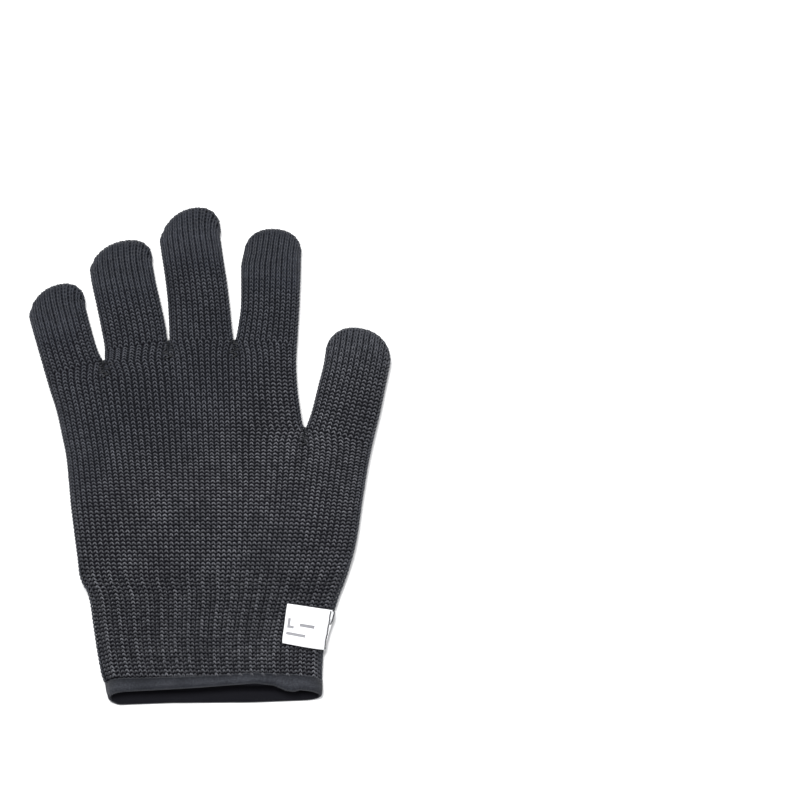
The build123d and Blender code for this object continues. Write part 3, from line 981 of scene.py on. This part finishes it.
def yarn_material(name, open_tones, tight_tones=None, plies=3, lay=2.1, shine=0.5, sheen=0.03):
    """A twisted yarn: plies wind round it, with fine paler fibres and a soft shine. The tones run
    dark, middle, light; the second set takes over where the knit is tighter and duller."""
    n = Nodes(name)
    _, along, around = n.yarn_map()
    place = n.place()
    # position round the yarn, in plies, turned by the twist
    turn = n.add(n.mul(around, float(plies)), n.mul(along, 1.0 / lay))
    ply = n.ridges(turn)
    comb = n.new("ShaderNodeCombineXYZ")
    for sock, value in zip(comb.inputs, (n.mul(turn, 2.2), n.mul(along, 0.55), around)):
        n.link(value, sock)
    fibre = n.noise(comb.outputs[0], 3.1, 3.0, 0.65)
    shade = n.add(n.mul(ply, 0.36), n.mul(fibre, 0.7))
    shade = n.vary(shade, n.noise(place, 60.0, 2.0), 0.30)          # worn patches
    shade = n.vary(shade, n.noise(place, 420.0, 1.0), 0.55)         # one stitch from the next
    stops = (0.30, 0.62, 0.95)
    col = n.ramp(shade, list(zip(stops, open_tones)))
    if tight_tones:
        col = n.mix(n.attribute("tight"), col, n.ramp(shade, list(zip(stops, tight_tones))))
    # painted shade: yarn that lies deep between its neighbours is darkened and shines less than
    # the top
    front = n.attribute("front")
    gap_shade = n.ramp(front, [(0.0, (0.16, 0.16, 0.17)), (1.0, (1, 1, 1))])
    n.set(Base_Color=n.mix(1.0, col, gap_shade, "MULTIPLY"),
          Roughness=n.math("SUBTRACT", 0.62, n.mul(fibre, shine * 0.6)),
          Specular_IOR_Level=n.mul(n.add(front, 0.1), 0.26),
          Sheen_Weight=sheen, Sheen_Roughness=0.45, Sheen_Tint=(0.72, 0.8, 1.0))
    n.bump(n.add(n.mul(ply, 0.6), n.mul(fibre, 0.4)), 0.5, 0.0002)
    return n.mat


def shade_sheet_material():
    """The dark inner layer seen through the gaps of the stitches: painted shade for the inside of
    the glove.
    """
    n = Nodes("painted_shade_layer")
    uv, _, _ = n.yarn_map()
    weave = n.new("ShaderNodeTexVoronoi")
    weave.inputs["Scale"].default_value = 1.4
    n.link(uv, weave.inputs["Vector"])
    tones = [(0.3, (0.0035, 0.0035, 0.0045)), (0.75, (0.009, 0.009, 0.012))]
    n.set(Base_Color=n.ramp(n.noise(uv, 3.0), tones), Roughness=0.9, Specular_IOR_Level=0.05)
    n.bump(weave.outputs["Distance"], 0.6, 0.0003)
    return n.mat


def hem_material(name, tones, sheen):
    """Fine threads laid side by side across the band."""
    n = Nodes(name)
    _, along, around = n.yarn_map()
    place = n.place()
    slant = n.add(n.mul(along, 2.4), n.mul(around, 0.35))
    thread = n.ridges(n.add(slant, n.mul(n.noise(place, 260.0), 0.8)))
    fuzz = n.noise(place, 1400.0)
    shade = n.add(n.mul(thread, 0.35), n.mul(n.noise(place, 70.0, 3.0), 0.7))
    shade = n.vary(shade, fuzz, 0.9)
    # painted highlight along the roll's middle, painted shade towards its edges
    off_highlight = n.math("ABSOLUTE", n.math("SUBTRACT", around, 2.9))
    shade = n.add(shade, n.math("SUBTRACT", 0.18, n.mul(off_highlight, 0.13)))
    n.set(Base_Color=n.ramp(shade, list(zip((0.25, 0.6, 0.95), tones))), Roughness=0.62,
          Specular_IOR_Level=0.02 + 2 * sheen, Sheen_Weight=sheen, Sheen_Roughness=0.4)
    n.bump(n.add(thread, n.mul(fuzz, 0.7)), 0.7, 0.00022)
    return n.mat


def label_material():
    """Woven white tape with a printed size letter and plain bars."""
    n = Nodes("label_tape")
    uv, x, y = n.yarn_map()
    weave = n.mul(*(n.math("SINE", n.mul(way, tau / pitch))
                    for way, pitch in ((x, 0.42), (y, 0.36))))
    shade = n.add(n.mul(weave, 0.06), n.noise(uv, 0.5, 3.0))
    tape = n.ramp(shade, [(0.3, (0.78, 0.785, 0.8)), (0.7, (0.89, 0.892, 0.9))])
    marks = 0.0
    for x0, x1, y0, y1 in ((1.6, 3.0, 8.0, 13.0), (1.6, 5.2, 8.0, 9.4), (8.0, 15.6, 9.6, 11.2),
                           (1.6, 12.2, 4.6, 6.1)):
        across = n.mul(n.math("GREATER_THAN", x, x0), n.math("LESS_THAN", x, x1))
        upright = n.mul(n.math("GREATER_THAN", y, y0), n.math("LESS_THAN", y, y1))
        marks = n.math("MAXIMUM", marks, n.mul(across, upright))
    ink = n.ramp(n.noise(uv, 5.0), [(0.3, (0.07, 0.07, 0.08)), (0.75, (0.22, 0.22, 0.24))])
    n.set(Base_Color=n.mix(n.mul(marks, 0.9), tape, ink), Roughness=0.5, Specular_IOR_Level=0.4,
          Sheen_Weight=0.15)
    n.bump(weave, 0.25, 0.00006)
    return n.mat


# tones: dark, middle, light
OPEN_TONES = ((0.0155, 0.0159, 0.0190), (0.055, 0.056, 0.0645), (0.207, 0.210, 0.230))
TIGHT_TONES = ((0.0108, 0.0121, 0.0164), (0.0196, 0.0218, 0.0290), (0.045, 0.049, 0.0625))
HEM_TONES = ((0.008, 0.009, 0.012), (0.020, 0.0215, 0.027), (0.044, 0.047, 0.056))
# painted shade: the hem's inside is darker than its outside
HEM_INSIDE_SHADE_TONES = ((0.009, 0.009, 0.0115), (0.015, 0.015, 0.018), (0.024, 0.024, 0.028))
HEM_THREAD_TONES = ((0.012, 0.013, 0.016), (0.026, 0.028, 0.034), (0.055, 0.058, 0.068))
KNOT_TONES = ((0.003, 0.0034, 0.0045), (0.007, 0.0078, 0.010), (0.018, 0.0195, 0.024))
ELASTIC_TONES = ((0.004, 0.004, 0.005), (0.010, 0.010, 0.012), (0.02, 0.02, 0.024))
SEAM_TONES = ((0.010, 0.010, 0.013), (0.02, 0.02, 0.025), (0.05, 0.05, 0.06))

under = shade_sheet_material()
knit_mats = [yarn_material("charcoal_yarn", OPEN_TONES, TIGHT_TONES), under]
rib_mats = [yarn_material("charcoal_rib_yarn", OPEN_TONES, TIGHT_TONES), under]
OWN_MATS = {
    "overlocked_hem": [hem_material("hem_band", HEM_TONES, 0.06),
                       yarn_material("hem_thread", HEM_THREAD_TONES, plies=2, lay=0.9, shine=0.3),
                       hem_material("hem_inside_shaded", HEM_INSIDE_SHADE_TONES, 0.0)],
    "elastic_threads": [yarn_material("covered_elastic", ELASTIC_TONES, plies=4, lay=0.8)],
    "crotch_stitches": [yarn_material("fork_yarn", KNOT_TONES, sheen=0.0)],
    "size_label_tape": [label_material()],
    "label_seam_thread": [yarn_material("seam_thread", SEAM_TONES, plies=2, lay=0.7)],
}
OBJ = {}
for name in sorted(PIECES):
    cloth = rib_mats if name.startswith("wrist") else knit_mats
    OBJ[name] = build(name, OWN_MATS.get(name, cloth))

# ---- What some pieces move with, and which part of the model each piece stands for
RIGID = {     # piece: body, slot, node
    "overlocked_hem": ("cuff", "hem_yarn", "cuff_overlocked_hem"),
    "elastic_threads": ("cuff", "elastic_thread", "cuff_elastic_threads"),
    "size_label_tape": ("cuff", "label_tape", "size_label"),
    "label_seam_thread": ("cuff", "label_thread", "size_label_stitches"),
    "crotch_stitches": ("hand", "hem_yarn", "crotch_reinforcing_stitches"),
    "knit_palm_side_heel_inner": ("hand", "knit_yarn", "palm_five_finger_knit"),
    "knit_palm_side_upper_inner": ("hand", "knit_yarn", "palm_four_finger_knit"),
    "knit_palm_side_upper_outer": ("hand", "knit_yarn", "palm_three_finger_knit"),
}
for name, obj in OBJ.items():
    if name in RIGID or name.startswith("knit_"):
        body, slot, *nodes = RIGID.get(name, ("hand", "knit_yarn"))
        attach(obj, body)
        if nodes:
            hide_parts(*nodes)


def bend(name, slot, below, above, start, end, nodes):
    """Bakes a knit's placement into its mesh and hides the nodes that it stands for. The slot, the
    bodies below and above, and the start and end in mm are not used.
    """
    obj = OBJ[name]
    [tuple(c * 0.001 for c in p) for p in (start, end)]
    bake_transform(obj)
    if nodes:
        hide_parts(*nodes)


for side, nodes in (("palm_side", ["cuff_rib_knit"]), ("back_side", [])):
    bend("wrist_knit_" + side, "rib_yarn", "hand", "cuff", (2, -47.5, 12), (2, -66.5, 12), nodes)
for name, parts in PARTS.items():
    below = "hand"
    for (part, nodes), (at, reach) in zip(parts.items(), JOINTS[name]):
        above = f"{name}_" + ("proximal" if part == "root" else part)
        ends = [(*(THUMB_O + s * THUMB_DIR), 12) if name == "thumb" else (0, s, 11)
                for s in (at - reach, at + reach)]
        bend(f"{name}_knit_{part}", "knit_yarn", below, above, *ends,
             [f"{name}_{node}_knit" for node in nodes])
        below = above

# ---- Floor, light and camera
bpy.ops.mesh.primitive_plane_add(size=6.0, location=(0.09, 0.02, -0.0002))
floor = bpy.context.object
floor.name = "floor"
paper = Nodes("floor")
paper.set(Base_Color=(0.9, 0.9, 0.9), Roughness=0.9, Specular_IOR_Level=0.1)
floor.data.materials.append(paper.mat)

world = bpy.data.worlds.new("studio")
bpy.context.scene.world = world
world.use_nodes = True
sky = world.node_tree.nodes["Background"]
sky.inputs[0].default_value = (0.97, 0.98, 1.0, 1)
sky.inputs[1].default_value = 0.5

for name, place, size, power in (("key", (-0.05, 0.42, 1.3), 0.35, 24),
                                 ("fill", (0.9, -0.3, 1.1), 1.0, 5)):
    light = bpy.data.lights.new(name, "AREA")
    light.shape = "SQUARE"
    light.size = size
    light.energy = power
    ob = bpy.data.objects.new(name, light)
    bpy.context.collection.objects.link(ob)
    ob.location = place
    aim = Vector((0.02, 0.0, 0)) - Vector(place)
    ob.rotation_euler = aim.to_track_quat("-Z", "Y").to_euler()

cam = bpy.data.cameras.new("camera")
cam.sensor_width = 36
cam.lens = 111.6
camera = bpy.data.objects.new("camera", cam)
bpy.context.collection.objects.link(camera)
camera.location = (0.0922, 0.0266, 1.208)      # straight above, beside the glove
bpy.context.scene.camera = camera
bpy.context.scene.view_settings.view_transform = "Standard"
